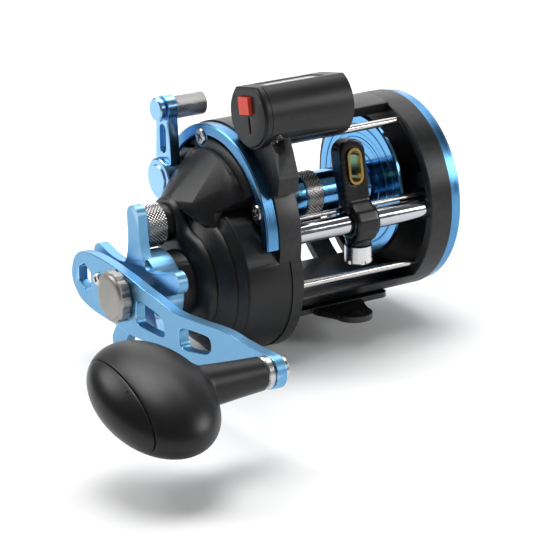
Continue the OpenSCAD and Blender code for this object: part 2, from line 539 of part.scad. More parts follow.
module anti_reverse_dog() color(steel) W() difference() {
    union() {
        xcyl(-36.9, -36.82, 0.5, hy + 12, hz - 14, 24);
        xcyl(-44.4, -43.2, 3.2, hy + 12, hz - 14, 32);
        xprism(-44.4, -43.2) polygon([[hy + 12 - 3, hz - 14 + 1], [hy + 6.3, hz - 10.9], [hy + 7.5, hz - 9.6], [hy + 12 + 1, hz - 14 + 3.1]]);
        xcyl(-43.3, -36.0, 1.95, hy + 12, hz - 14, 32);
    }
}
module anti_reverse_bearing() color(steel) W() xtube(-66.6, -61.5, 9.08, 5.45, hy, hz);

// ---- star drag ----
module star_drag() color(blue) W() difference() {
    union() {
        xrev(hy, hz) polygon([[0, -79], [14.1, -79], [14.1, -67.8], [13.5, -67.2], [0, -67.2]]);
        for (k = [0:star_arms - 1]) let(a = 87 + 360 / star_arms * k) translate([0, hy, hz]) rotate([a - 90, 0, 0])
            xprism(-79, -75.3) polygon(concat([[-7.4, 8.5], [-6.3, 11], [-5.2, 14], [-4.4, 18], [-4, 22]],
                [for (t = [180:-12:0]) [4.1 * cos(t), star_r - 4.1 + 4.1 * sin(t)]], [[4, 22], [4.4, 18], [5.2, 14], [6.3, 11], [7.4, 8.5]]));
    }
    xcyl(-80, -67, 4.06, hy, hz);
    // shallow pockets between the arms
    for (k = [0:star_arms - 1]) let(a = 87 + 36 + 360 / star_arms * k, p = pt([hy, hz], 15.8, a)) xcyl(-79.5, -77.2, 3.45, p[0], p[1], 48);
    // recessed arm faces
    for (k = [0:star_arms - 1]) let(a = 87 + 360 / star_arms * k) translate([0, hy, hz]) rotate([a - 90, 0, 0])
        xprism(-76.1, -75.4) stadium([0, 17], [0, star_r - 4.5], 1.7);
}

// ---- handle ----
ky = hy - crank_len; kz = hz - 0.1;
// Closed smooth outline through the given points
function spline(p, n = 5) = [for (i = [0:len(p) - 1]) let(m = len(p), a = p[(i + m - 1) % m], b = p[i], c = p[(i + 1) % m], d = p[(i + 2) % m])
    for (k = [0:n - 1]) let(t = k / n) 0.5 * (2 * b + (c - a) * t + (2 * a - 5 * b + 4 * c - d) * t * t + (3 * b - a - 3 * c + d) * t * t * t)];
module handle_arm() color(blue) W() difference() {
    xprism(-86.2, -86.2 + arm_t) translate([hy, hz]) polygon(spline([[35.7, 0], [33.6, 5.6], [29, 9.0], [21.8, 10.2], [15.6, 10.4], [8.7, 10.1], [2, 9.5], [-4.6, 8.8], [-11.2, 7.8],
        [-17.7, 6.7], [-24.1, 5.9], [-30.5, 4.8], [-36, 4.1], [-41, 4.0], [-46.2, 4.3], [-55.5, 5.0], [-62.5, 5.7], [-68, 6.2], [-74.5, 6.3], [-80.4, 5.8], [-crank_len + 10, 5.6], [-crank_len + 3, 5.8], [-crank_len - 2.4, 5.5],
        [-crank_len - 5.4, 3.1], [-crank_len - 6.3, -0.1], [-crank_len - 5.4, -3.3], [-crank_len - 2.4, -5.7], [-crank_len + 3, -7.2], [-crank_len + 10, -9.0], [-79, -9.8], [-68, -10.4], [-56, -10.9], [-44, -11.6],
        [-32, -12.3], [-20, -12.8], [-13.2, -13.0], [-8.5, -13.2], [-3.2, -13.0], [0.8, -12.6], [6.2, -12.2], [11.7, -12.0], [17.2, -11.7], [23.4, -10.9], [28.9, -9.4], [32.3, -7.2], [34.9, -4.2]]));
    xcyl(-88, -81, 4.05, hy, hz);
    xcyl(-88, -81, 3.1, ky, kz, 48);
    // lock screw hole
    xcyl(-88, -81, 1.02, hy + 14.3, hz + 2.5, 32);
    // weight-saving windows
    xprism(-88, -81) translate([hy + 25.9, hz + 0.2]) rotate(30) circle(5.2, $fn = 6);
    xprism(-88, -81) translate([hy, hz]) polygon(spline([[-12.0, 0.2], [-14.3, 1.3], [-21.2, 0.8], [-27.6, -0.1], [-30.6, -2.0], [-31.0, -5.2], [-29.8, -7.4], [-21.5, -7.8], [-13.5, -7.7], [-11.6, -6.6], [-11.4, -3.2]]));
    xprism(-88, -81) translate([hy, hz]) polygon(spline([[-41.5, -1.7], [-44.6, -0.2], [-52, 0.7], [-59.6, 1.2], [-61.9, 0.1], [-62.2, -2.4], [-61.2, -4.2], [-58.6, -5.5], [-52.4, -6.7], [-46.5, -7.7], [-42.5, -7.5], [-41.2, -4.8]]));
}
module handle_nut() color(steel) W() difference() {
    union() {
        xprism(-90, -86.7) translate([hy, hz]) difference() {
            circle(9.6, $fn = 96);
            for (k = [0:9]) rotate(36 * k + 18) translate([11, 0]) circle(2.2, $fn = 32);
        }
        xrev(hy, hz) polygon([[0, -91.2], [6.2, -91.2], [7.8, -90.8], [8.5, -90], [8.5, -86.25], [0, -86.25]]);
    }
    xcyl(-90.4, -85, 3.22, hy, hz);
}
module handle_lock_screw() color(steel) W() {
    cap_screw(-88.0, -82.5, [hy + 14.3, hz + 2.5], 2.3, 1.75, 1.0);
}
module knob_shaft() color(steel) W() {
    // riveted head behind the arm, collar in front of it, then the bare shaft
    xrev(ky, kz) polygon([[0, -112.5], [2.4, -112.5], [3, -112], [3, -88.7], [5.2, -88.7], [5.6, -88.3], [5.6, -86.25], [3.05, -86.25],
        [3.05, -82.15], [4.4, -82.15], [4.4, -80.2], [3.6, -79.5], [0, -79.5]]);
}
module knob_bushings() color(brass) W() {
    xtube(-93.2, -88.8, 4.6, 3.05, ky, kz);
    xtube(-111.2, -106.8, 4.6, 3.05, ky, kz);
}
// Flattened egg of the knob: rings across the shaft between x0 and x1, leaned back by knob_lean
knob_lean = 18.6; egg_x = -130; egg_a = 19.8; egg_c = 13.05;
function egg_ring(x, g, n) = let(s = sqrt(max(0, 1 - pow((x - egg_x) / egg_a, 2))), a = knob_len / 2 * s - g, b = egg_c * s - g)
    [for (i = [0:n - 1]) let(t = 360 * i / n, u = a * cos(t), v = b * sin(t))
        [x, ky + u * cos(knob_lean) - v * sin(knob_lean), kz + u * sin(knob_lean) + v * cos(knob_lean)]];
module knob_egg(x0, x1, k, g = 0, n = 48) {
    // stations bunch up towards the poles
    a0 = acos(max(-1, (x0 - egg_x) / egg_a)); a1 = acos(min(1, (x1 - egg_x) / egg_a));
    xs = [for (i = [0:k]) egg_x + egg_a * cos(a0 + (a1 - a0) * i / k)];
    pts = concat([for (x = xs) each egg_ring(x, g, n)], [[xs[0], ky, kz], [xs[k], ky, kz]]);
    polyhedron(points = pts, faces = concat(
        [for (j = [0:n - 1]) [(k + 1) * n, j, (j + 1) % n]],
        [for (j = [0:n - 1]) [(k + 1) * n + 1, k * n + (j + 1) % n, k * n + j]],
        [for (i = [0:k - 1]) for (j = [0:n - 1]) let(a = i * n + j, b = i * n + (j + 1) % n) each [[a, b + n, b], [a, a + n, b + n]]]));
}
module handle_knob() color(black) W() difference() {
    union() {
        knob_egg(-141.8, -111.0, 18);
        xrev(ky, kz) polygon([[0, -89], [5.4, -89], [5.8, -89.5], [6.3, -98], [6.9, -106], [7.4, -112.5], [7.4, -124], [0, -124]]);
    }
    xcyl(-113, -88, 4.62, ky, kz);
}
module knob_end_cap() color(black) W() union() {
    knob_egg(-149.5, -142.1, 8);
    xcyl(-143, -141.85, 8.5, ky, kz);
}

// ---- level wind ----
module level_wind_tube() color(steel) W() difference() {
    xcyl(-27.9, 34.0, 3.9, wy, wz);
    xcyl(-29, 36, 3.15, wy, wz);
    // slot for the pawl
    translate([-25, wy - 1.9, wz - 5]) cube([56, 3.8, 4]);
}
// Worm: a shaft with a left- and a right-hand groove crossing on it
module level_wind_worm() color(steel) W() difference() {
    union() {
        xrev(wy, wz) polygon([[0, -35.2], [1.5, -35.2], [1.5, -28.2], [2.9, -28.2], [2.9, -24], [2.55, -23], [2.55, 30.6], [2.9, 31.6], [2.9, 33.4], [1.6, 33.4], [1.6, 35.4], [0, 35.4]]);
    }
    for (k = [0:6]) translate([-19 + 7.6 * k, wy, wz]) for (s = [-1, 1]) rotate([0, 22 * s, 0])
        rotate([0, 90, 0]) rotate_extrude($fn = 48) translate([2.0, -0.5]) square([1.6, 1]);
}
module worm_gear() color(brass) W() difference() {
    xgear(-33.6, -30.8, worm_teeth, wy, wz, rot_wrm);
    xcyl(-35, -29, 1.5, wy, wz);
}
module level_wind_idler() color([0.9, 0.9, 0.86]) W() difference() {
    xgear(-33.8, -30.6, idler_teeth, iy, iz, rot_idl);
    xcyl(-35, -29, 1.55, iy, iz);
}
module idler_post() color(steel) W() { xcyl(-38.5, -29.0, 1.49, iy, iz, 48); xcyl(-36.75, -34.2, 2.4, iy, iz, 48); }
// Line guide: an oval arm that stands on a body riding along the tube
gy = -26.6; gz = 20.7;     // middle of the eyelet
module guide_tilt() translate([lx - 1.1, gy, gz]) rotate([-10, 0, 0]) children();
module line_guide() color(black) W() difference() {
    union() {
        // oval arm
        guide_tilt() translate([0, 3.6, 0]) rotate([90, 0, 0]) linear_extrude(7.2) difference() {
            translate([0, -5.6]) polygon(stad_pts(10.4, 5.5));
            polygon(stad_pts(3.6, 3.18));
        }
        // swept neck from the arm down over the tube
        xprism(lx - 4.6, lx + 4.15) polygon([[-24.5, 10], [-30.5, 10], [-33.6, 7.6], [-36.6, 5.6], [-38.4, 2.4], [-38.6, -1.6], [-36.4, -5.4], [-33, -7.6],
            [-29, -7.4], [-26.9, -4], [-26.9, 3.4], [-25.8, 6]]);
        xcyl(lx - 5.2, lx + 5.2, 6.4, wy, wz);
        zcyl(-8.6, -2, 4.6, lx, wy + 1.2);
    }
    xcyl(lx - 8, lx + 8, 3.96, wy, wz);
    // clear of the spool
    xcyl(lx - 9, lx + 9, flange_r + 0.4, 0, spool_z);
    // thin upper guide rod
    xcyl(lx - 9, lx + 9, 1.02, -28.4, 5.0, 48);
    // pawl seat
    zcyl(-9, -2, 2.05, lx, wy + 1.2, 32);
}
module line_guide_eyelet() color([0.85, 0.68, 0.3]) W() guide_tilt() translate([0, 4.4, 0]) rotate([90, 0, 0]) linear_extrude(8.9) difference() {
    polygon(stad_pts(3.6, 3.15));
    polygon(stad_pts(3.6, 2.2));
}
module guide_pawl() color(steel) W() { zcyl(-13, -3.6, 1.9, lx, wy + 1.2, 32); zcyl(-3.7, -2.0, 0.9, lx, wy + 0.4, 32); }
module pawl_cap() color(steel) W() difference() {
    union() {
        translate([lx, wy + 1.2, -15.4]) rotate_extrude($fn = 96) polygon([[0, 0], [4.5, 0], [5.15, 0.65], [5.15, 6.75], [0, 6.75]]);
    }
    zcyl(-13.1, -8, 1.92, lx, wy + 1.2, 32);
    translate([lx, wy + 1.2, -15.4]) for (k = [0:5]) rotate(60 * k + 20) translate([5.15, 0, -1]) cylinder(h = 2.6, r = 0.9, $fn = 24);
}
module front_rods() color(steel) W() {
    xcyl(-28.4, 33.9, 1.48, -25, -22, 48);
    xcyl(-28.4, 33.9, 1.48, -15.5, 31, 48);
    xcyl(-28.4, 33.9, 0.9, -28.4, 5.0, 48);
}

// ---- line counter ----
c_x0 = -38.5; c_x1 = -0.7;
module counter_outline(r, cut) rotate(-10) difference() {
    circle(r, $fn = 128);
    translate([-r - 1, cut]) square([2 * r + 2, 2 * r]);
}
module counter_housing() color(black) W() difference() {
    union() {
        xprism(c_x0 + 3, c_x1) translate([cy, cz]) counter_outline(counter_r, 10.2);
        intersection() { xprism(c_x0 + 3, c_x1 - 3) polygon([[-31.4, 39.4], [-12.5, 39.4], [-12, 45], [-31, 45]]); xprism(-40, 0) translate([cy, cz]) square(30, center = true); }
    }
    // inside
    xprism(c_x0 + 2, c_x1 - 1.6) translate([cy, cz]) counter_outline(counter_r - 1.7, 8.6);
    // window opening
    translate([-32, cy, cz]) rotate([-10, 0, 0]) translate([0, -5, 6]) cube([25, 9.4, 6]);
    // end-cap screw
    translate([-35.6, cy, cz]) rotate([38, 0, 0]) translate([3.3, -counter_r - 1, 0]) rotate([-90, 0, 0]) cylinder(h = 1.9, r = 2.5, $fn = 32);
    translate([-35.6, cy, cz]) rotate([38, 0, 0]) translate([3.3, -counter_r - 1, 0]) rotate([-90, 0, 0]) cylinder(h = 6, r = 1.05, $fn = 32);
    // drive shaft from below
    xcyl(-31, -29, 3.0, cy + 1, 42, 32);
}
module counter_end_cap() color(black) W() difference() {
    union() {
        xprism(c_x0 + 0.8, c_x0 + 2.96) translate([cy, cz]) counter_outline(counter_r, 10.2);
        xprism(c_x0, c_x0 + 1) translate([cy, cz]) counter_outline(counter_r - 0.9, 9.4);
        xprism(c_x0 + 2, c_x0 + 3.9) translate([cy, cz]) counter_outline(counter_r - 1.75, 8.5);
    }
    // button window and shaft bearing
    translate([c_x0 - 1, cy, cz]) rotate([-10, 0, 0]) translate([0, -3.4, 0.2]) cube([6, 6.8, 6.6]);
    xcyl(c_x0 + 1.4, c_x0 + 5, 1.03, cy, cz - 2.2, 32);
    translate([c_x0 - 1, cy, cz]) rotate([-10, 0, 0]) translate([0, -1.1, -6.6]) cube([1.7, 0.9, 6]);
}
module counter_window() color([0.8, 0.85, 0.88, 0.5]) W() translate([-32, cy, cz]) rotate([-10, 0, 0]) difference() {
    translate([0.05, -4.95, 8.62]) cube([24.9, 9.3, 1.2]);
    translate([-1, -6, 8.0]) cube([0.5, 0.5, 0.5]);
}
module number_wheel(i) xrev(cy, cz - 2.2) polygon([[2.64, -31 + 7.6 * i], [7.6, -31 + 7.6 * i], [7.9, -30.7 + 7.6 * i],
    [7.9, -24.6 + 7.6 * i], [7.6, -24.3 + 7.6 * i], [2.64, -24.3 + 7.6 * i]]);
module counter_wheel_hundreds() color([0.95, 0.95, 0.93]) W() number_wheel(0);
module counter_wheel_tens() color([0.95, 0.95, 0.93]) W() number_wheel(1);
module counter_wheel_ones() color([0.95, 0.95, 0.93]) W() number_wheel(2);
module counter_shaft() color(steel) W() {
    xcyl(-37.0, -2.4, 1.0, cy, cz - 2.2, 32);
    xcyl(-31.05, -8.4, 2.59, cy, cz - 2.2, 48);
}
module reset_button() color([0.85, 0.12, 0.06]) W() difference() {
    union() {
        translate([c_x0 - 1.4, cy, cz]) rotate([-10, 0, 0]) translate([0, -3.3, 0.3]) cube([4.2, 6.6, 6.4]);
    }
    translate([c_x0 + 2, cy, cz - 2.2]) rotate([0, 90, 0]) cylinder(h = 6, r = 2.8, $fn = 32);
}
module counter_screw() color(steel) W() translate([-35.6, cy, cz]) rotate([38, 0, 0]) translate([3.3, -counter_r - 1, 0]) rotate([-90, 0, 0]) difference() {
    union() { translate([0, 0, 0.5]) cylinder(h = 1.38, r = 2.3, $fn = 48); translate([0, 0, 1.8]) cylinder(h = 3.4, r = 1.03, $fn = 32); }
    for (a = [0, 90]) rotate(a) translate([-1.5, -0.35, 0]) cube([3, 0.7, 1.1]);
}

// ---- clicker ----
kz0 = 16.3;             // height of the clicker's stem when it is off
module clicker_button() color(steel) W() {
    difference() {
        xrev(0, kz0) polygon([[0, 47.9], [4, 47.9], [4, 50.9], [3.4, 51.5], [0, 51.5]]);
        translate([53.2, 0, kz0]) sphere(r = 2.9, $fn = 48);
    }
    xcyl(28.6, 48.5, 1.45, 0, kz0, 48);
}
module clicker_tongue() color(steel) W() difference() {
    xprism(28.55, 29.15) polygon([[-1.2, kz0 - 3.4], [1.2, kz0 - 3.4], [2.4, kz0 - 1], [2.4, kz0 + 1], [1, kz0 + 2.4], [-1, kz0 + 2.4], [-2.4, kz0 + 1], [-2.4, kz0 - 1]]);
    xcyl(28, 31, 1.45, 0, kz0, 48);
}

frame();
foot();
foot_screws();
gear_side_plate();
left_trim_ring();
plate_screws();
bridge_plate();
right_side_plate();
right_side_cover();
right_trim_ring();
spool();
spool_shaft();
line_grip_band();
click_gear();
spool_bearings();
cast_control_cap();
tension_shims();
clutch_lever();
lever_cap_screw();
lever_knob();
clutch_cam();
pinion_yoke();
yoke_posts();
pinion();
main_gear();
drag_washers();
drag_spring();
drive_shaft();
anti_reverse_ratchet();
anti_reverse_dog();
anti_reverse_bearing();
star_drag();
handle_arm();
handle_nut();
handle_lock_screw();
knob_shaft();
knob_bushings();
handle_knob();
knob_end_cap();
level_wind_tube();
level_wind_worm();
worm_gear();
level_wind_idler();
idler_post();
line_guide();
line_guide_eyelet();
guide_pawl();
pawl_cap();
front_rods();
counter_housing();
counter_end_cap();
counter_window();
counter_wheel_hundreds();
counter_wheel_tens();
counter_wheel_ones();
counter_shaft();
reset_button();
counter_screw();
clicker_button();
clicker_tongue();
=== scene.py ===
import bpy, bmesh, math, json
import numpy as np
from mathutils import Vector, Matrix


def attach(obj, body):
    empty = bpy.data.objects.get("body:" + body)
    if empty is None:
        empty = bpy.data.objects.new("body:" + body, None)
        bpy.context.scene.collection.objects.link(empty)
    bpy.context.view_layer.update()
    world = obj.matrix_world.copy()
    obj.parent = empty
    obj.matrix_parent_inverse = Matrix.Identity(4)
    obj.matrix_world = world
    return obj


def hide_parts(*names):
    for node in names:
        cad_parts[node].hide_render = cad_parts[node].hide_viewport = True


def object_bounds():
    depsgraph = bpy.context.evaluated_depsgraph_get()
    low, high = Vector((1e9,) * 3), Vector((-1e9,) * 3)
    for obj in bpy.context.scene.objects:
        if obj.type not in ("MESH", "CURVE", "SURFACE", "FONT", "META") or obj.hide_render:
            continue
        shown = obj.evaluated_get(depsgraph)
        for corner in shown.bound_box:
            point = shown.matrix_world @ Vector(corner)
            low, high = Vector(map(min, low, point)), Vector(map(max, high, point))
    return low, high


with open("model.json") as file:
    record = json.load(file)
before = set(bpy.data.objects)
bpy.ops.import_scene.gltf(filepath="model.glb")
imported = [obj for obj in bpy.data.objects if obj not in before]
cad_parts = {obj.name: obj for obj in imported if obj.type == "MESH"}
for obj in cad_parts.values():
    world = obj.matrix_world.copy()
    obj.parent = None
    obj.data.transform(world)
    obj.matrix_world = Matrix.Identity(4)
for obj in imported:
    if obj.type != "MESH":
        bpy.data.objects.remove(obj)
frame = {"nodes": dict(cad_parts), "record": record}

N = frame["nodes"]
CAD_BOX = [list(v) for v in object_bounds()]
SC = bpy.context.scene
COL = SC.collection
R = math.radians
MM = 0.001


def W(x, y, z):
    """A point given about the ring centres, in mm, as a point of the shared frame, in metres."""
    return Vector(((x - 4) * MM, y * MM, (z + 38.4) * MM))


# ---------------------------------------------------------------- camera
AZ, EL, RO = R(-32.49), R(17.93), R(-1.02)
back = Vector((math.sin(AZ) * math.cos(EL), -math.cos(AZ) * math.cos(EL), math.sin(EL)))
r0 = Vector((math.cos(AZ), math.sin(AZ), 0))
u0 = back.cross(r0)
rv = math.cos(RO) * r0 + math.sin(RO) * u0
uv = -math.sin(RO) * r0 + math.cos(RO) * u0
cam = bpy.data.objects.new("camera", bpy.data.cameras.new("camera"))
COL.objects.link(cam)
cam.data.lens, cam.data.sensor_width = 186.4, 36
cam.data.clip_start, cam.data.clip_end = 0.05, 20
cam.matrix_world = Matrix(((rv.x, uv.x, back.x, -0.55130), (rv.y, uv.y, back.y, -0.83179), (rv.z, uv.z, back.z, 0.33612), (0, 0, 0, 1)))
SC.camera = cam

# ---------------------------------------------------------------- material kit
class Mat:
    """A Principled material with a small node-building kit."""

    def __init__(self, name, base=(0.5, 0.5, 0.5), metal=0.0, rough=0.5, **kw):
        self.m = bpy.data.materials.new(name)
        self.m.use_nodes = True
        self.t = self.m.node_tree
        self.b = self.t.nodes["Principled BSDF"]
        self.set("Base Color", (*base, 1.0))
        self.set("Metallic", metal)
        self.set("Roughness", rough)
        for k, v in kw.items():
            self.set(k.replace("_", " "), v)
        self._co = None
        self.m.diffuse_color = (*base, 1)

    def set(self, k, v):
        self.b.inputs[k].default_value = v

    def node(self, kind, **kw):
        n = self.t.nodes.new(kind)
        for k, v in kw.items():
            setattr(n, k, v)
        return n

    def link(self, a, b):
        self.t.links.new(a, b)

    def co(self):
        if self._co is None:
            self._co = self.node("ShaderNodeTexCoord").outputs["Object"]
        return self._co

    def mapped(self, scale=(1, 1, 1), loc=(0, 0, 0), rot=(0, 0, 0), src=None):
        n = self.node("ShaderNodeMapping")
        n.inputs["Scale"].default_value = scale
        n.inputs["Location"].default_value = loc
        n.inputs["Rotation"].default_value = rot
        self.link(src or self.co(), n.inputs["Vector"])
        return n.outputs[0]

    def noise(self, scale, detail=3.0, rough=0.55, vec=None, dist=0.0):
        n = self.node("ShaderNodeTexNoise")
        n.inputs["Scale"].default_value = scale
        n.inputs["Detail"].default_value = detail
        n.inputs["Roughness"].default_value = rough
        n.inputs["Distortion"].default_value = dist
        self.link(vec or self.co(), n.inputs["Vector"])
        return n.outputs["Fac"]

    def voronoi(self, scale, vec=None, feature="F1", out="Distance"):
        n = self.node("ShaderNodeTexVoronoi", feature=feature)
        n.inputs["Scale"].default_value = scale
        self.link(vec or self.co(), n.inputs["Vector"])
        return n.outputs[out]

    def ramp(self, src, lo, hi, a=0.0, b=1.0):
        n = self.node("ShaderNodeMapRange")
        n.inputs["From Min"].default_value = lo
        n.inputs["From Max"].default_value = hi
        n.inputs["To Min"].default_value = a
        n.inputs["To Max"].default_value = b
        self.link(src, n.inputs["Value"])
        return n.outputs[0]

    def math(self, op, a, b=0.0):
        n = self.node("ShaderNodeMath", operation=op)
        for i, v in enumerate((a, b)):
            if isinstance(v, (int, float)):
                n.inputs[i].default_value = v
            else:
                self.link(v, n.inputs[i])
        return n.outputs[0]

    def mix(self, fac, a, b):
        n = self.node("ShaderNodeMix", data_type="RGBA")
        for k, v in ((0, fac), (6, a), (7, b)):
            if isinstance(v, (int, float)):
                n.inputs[k].default_value = v
            elif isinstance(v, tuple):
                n.inputs[k].default_value = (*v, 1.0) if len(v) == 3 else v
            else:
                self.link(v, n.inputs[k])
        return n.outputs[2]

    def pointy(self, lo=0.5, hi=0.6):
        return self.ramp(self.node("ShaderNodeNewGeometry").outputs["Pointiness"], lo, hi)

    def bump(self, src, strength=0.2, dist=0.0002, base=None):
        n = self.node("ShaderNodeBump")
        n.inputs["Strength"].default_value = strength
        n.inputs["Distance"].default_value = dist
        self.link(src, n.inputs["Height"])
        if base is not None:
            self.link(base, n.inputs["Normal"])
        self.link(n.outputs[0], self.b.inputs["Normal"])
        return n.outputs[0]

    def lathe(self, y, z):
        """(x, radius) about an axis along X at (y, z) mm: turned marks run round it."""
        p = W(0, y, z)
        s = self.node("ShaderNodeSeparateXYZ")
        self.link(self.mapped(loc=(0, -p.y, -p.z)), s.inputs[0])
        rad = self.math("SQRT", self.math("ADD", self.math("POWER", s.outputs[1], 2.0), self.math("POWER", s.outputs[2], 2.0)))
        c = self.node("ShaderNodeCombineXYZ")
        self.link(s.outputs[0], c.inputs[0])
        self.link(rad, c.inputs[1])
        return c.outputs[0]


def black_plastic(name, base=(0.014, 0.0145, 0.016), rough=0.42, grain=2600, bump=0.10, lift=(0.03, 0.031, 0.034), coat=0.0, spec=0.34):
    """Moulded black composite: fine spark-eroded grain, cloudy sheen and rubbed edges."""
    m = Mat(name, base, 0.0, rough)
    cloud = m.noise(38, 3, 0.6)
    fine = m.noise(grain, 2, 0.6)
    edge = m.pointy(0.53, 0.62)
    col = m.mix(m.ramp(cloud, 0.35, 0.7), tuple(base), tuple(c * 1.35 for c in base))
    col = m.mix(m.math("MULTIPLY", edge, m.ramp(m.noise(420, 2), 0.35, 0.65, 0.1, 0.7)), col, tuple(lift))
    m.link(col, m.b.inputs["Base Color"])
    r = m.math("ADD", m.ramp(cloud, 0.3, 0.7, rough - 0.04, rough + 0.05), m.ramp(fine, 0.3, 0.7, -0.03, 0.03))
    scuff = m.noise(1, 2, 0.5, m.mapped(scale=(60, 900, 900), rot=(0.3, 0.1, 0.5)))
    r = m.math("SUBTRACT", r, m.ramp(scuff, 0.62, 0.75, 0.0, 0.08))
    m.link(r, m.b.inputs["Roughness"])
    m.bump(fine, bump, 0.00012)
    m.set("Specular IOR Level", spec)
    if coat:
        m.set("Coat Weight", coat)
        m.set("Coat Roughness", 0.12)
    return m


def anodised(name, base=(0.17, 0.42, 0.72), rough=0.3, axis=None, grain=1.0, streak=0.05, dark=0.72):
    """Dyed anodised aluminium: turned or blasted grain, slightly uneven dye, edges rubbed lighter."""
    m = Mat(name, base, 1.0, rough)
    cloud = m.noise(30, 2, 0.5)
    col = m.mix(m.ramp(cloud, 0.35, 0.68), tuple(c * 0.93 for c in base), tuple(min(1, c * 1.06) for c in base))
    edge = m.pointy(0.54, 0.64)
    col = m.mix(m.math("MULTIPLY", edge, 0.35), col, (0.62, 0.80, 0.95))
    m.link(col, m.b.inputs["Base Color"])
    if axis is not None:
        v = m.lathe(*axis)
        lines = m.noise(1, 3, 0.7, m.mapped(scale=(5200, 5200, 1), src=v))
        broad = m.noise(1, 2, 0.5, m.mapped(scale=(900, 900, 1), src=v))
        r = m.math("ADD", m.ramp(lines, 0.3, 0.7, rough - streak, rough + streak), m.ramp(broad, 0.3, 0.7, -0.03, 0.03))
        m.bump(lines, 0.05 * grain, 0.00006)
    else:
        fine = m.noise(5200, 2, 0.6)
        r = m.math("ADD", m.ramp(fine, 0.3, 0.7, rough - 0.05, rough + 0.05), m.ramp(cloud, 0.3, 0.7, -0.03, 0.04))
        m.bump(fine, 0.10 * grain, 0.00006)
    m.link(r, m.b.inputs["Roughness"])
    return m


def metal(name, base, rough=0.25, axis=None, line=2600, bump=0.06, grime=0.25, blast=False):
    m = Mat(name, base, 1.0, rough)
    cloud = m.noise(60, 3, 0.6)
    spots = m.noise(700, 3, 0.65)
    col = m.mix(m.math("MULTIPLY", m.ramp(cloud, 0.45, 0.75), grime), tuple(base), tuple(c * 0.62 for c in base))
    col = m.mix(m.math("MULTIPLY", m.ramp(spots, 0.6, 0.8), grime * 0.6), col, tuple(c * 0.5 for c in base))
    m.link(col, m.b.inputs["Base Color"])
    if axis is not None:
        lines = m.noise(1, 3, 0.7, m.mapped(scale=(line, line, 1), src=m.lathe(*axis)))
    elif blast:
        lines = m.noise(3800, 2, 0.7)
    else:
        lines = m.noise(1, 3, 0.7, m.mapped(scale=(300, 3000, 3000)))
    r = m.math("ADD", m.ramp(lines, 0.3, 0.7, rough - 0.06, rough + 0.07), m.ramp(cloud, 0.3, 0.7, -0.03, 0.05))
    m.link(r, m.b.inputs["Roughness"])
    m.bump(lines, bump, 0.00006)
    return m


hy, hz = -9.1, -16.8
ky, kz = hy - 98.0, hz - 0.1
M = {}
M["graphite"] = black_plastic("graphite", (0.0062, 0.0064, 0.0072), 0.36, 2400, 0.10, (0.018, 0.0185, 0.020))
M["panel"] = black_plastic("panel_black", (0.0085, 0.0088, 0.0098), 0.36, 3400, 0.05, (0.022, 0.0225, 0.024))
M["foot"] = black_plastic("foot_coat", (0.008, 0.008, 0.009), 0.26, 1400, 0.05, (0.05, 0.05, 0.052), 0.4)
M["guide"] = black_plastic("guide_black", (0.0050, 0.0051, 0.0057), 0.24, 3000, 0.04, (0.016, 0.0165, 0.018))
M["ring"] = anodised("ring_blue", (0.095, 0.27, 0.50), 0.27, (0, 0), 1.6, 0.08)
M["ring_flat"] = anodised("ring_blue_edge", (0.19, 0.43, 0.70), 0.19)
M["spool"] = anodised("spool_blue", (0.13, 0.37, 0.68), 0.15, (0, 4), 0.7, 0.04)
s_ = M["spool"]
sp_ = s_.node("ShaderNodeSeparateXYZ")
s_.link(s_.lathe(0, 4), sp_.inputs[0])
# Painted shade: thin near-black rings every 3.3 mm of radius beyond 12.5 mm stand in for turned grooves. The surface
# has no cut there; the dark is the shade a groove would hold.
turn = s_.math("ABSOLUTE", s_.math("SUBTRACT", s_.math("FRACT", s_.math("DIVIDE", sp_.outputs[1], 0.0033)), 0.5))
far = s_.math("GREATER_THAN", sp_.outputs[1], 0.0125)
line = s_.math("MULTIPLY", far, s_.ramp(turn, 0.455, 0.485))
was = s_.b.inputs["Base Color"].links[0].from_socket
s_.link(s_.mix(line, was, (0.008, 0.016, 0.03)), s_.b.inputs["Base Color"])
M["machined"] = anodised("machined_blue", (0.165, 0.385, 0.61), 0.38)
M["polish"] = anodised("polished_blue", (0.20, 0.50, 0.84), 0.12)
M["hub"] = anodised("hub_blue", (0.18, 0.44, 0.74), 0.17, (hy, hz), 1.0, 0.05)
M["lever"] = anodised("lever_blue", (0.27, 0.52, 0.80), 0.24)
M["steel"] = metal("plain_steel", (0.56, 0.56, 0.57), 0.24)
M["screw"] = metal("screw_steel", (0.62, 0.60, 0.57), 0.20, bump=0.04)
M["chrome"] = metal("tube_chrome", (0.50, 0.51, 0.545), 0.08, bump=0.01, grime=0.06)
M["rod"] = metal("rod_steel", (0.58, 0.56, 0.54), 0.20, bump=0.03, grime=0.1)
M["knurl"] = metal("knurl_steel", (0.62, 0.61, 0.60), 0.24, blast=True, bump=0.03, grime=0.25)
k_ = M["knurl"]
# Knurl colour follows the relief height: the valleys are painted near black as painted shade (occlusion), and the peaks
# and chamfered ends are a light steel.
k_.link(k_.mix(k_.ramp(k_.node("ShaderNodeAttribute", attribute_name="relief").outputs["Fac"], 0.12, 0.62), (0.020, 0.019, 0.018), (0.80, 0.79, 0.78)), k_.b.inputs["Base Color"])
M["cap"] = metal("pawl_cap_steel", (0.62, 0.62, 0.63), 0.24, bump=0.04, grime=0.1)
M["nut"] = metal("nut_steel", (0.36, 0.345, 0.33), 0.42, blast=True, bump=0.10, grime=0.3)
M["brass"] = metal("cut_brass", (0.72, 0.52, 0.22), 0.28)
M["gold"] = metal("eye_gold", (0.83, 0.58, 0.20), 0.16, blast=True, bump=0.02, grime=0.15)
M["friction"] = black_plastic("friction_washer", (0.05, 0.05, 0.05), 0.7, 1500, 0.3)
M["bushing"] = black_plastic("bushing", (0.62, 0.60, 0.55), 0.4, 1500, 0.05, (0.7, 0.7, 0.66))
M["idler"] = black_plastic("idler_plastic", (0.62, 0.62, 0.58), 0.4, 1500, 0.05, (0.7, 0.7, 0.66))
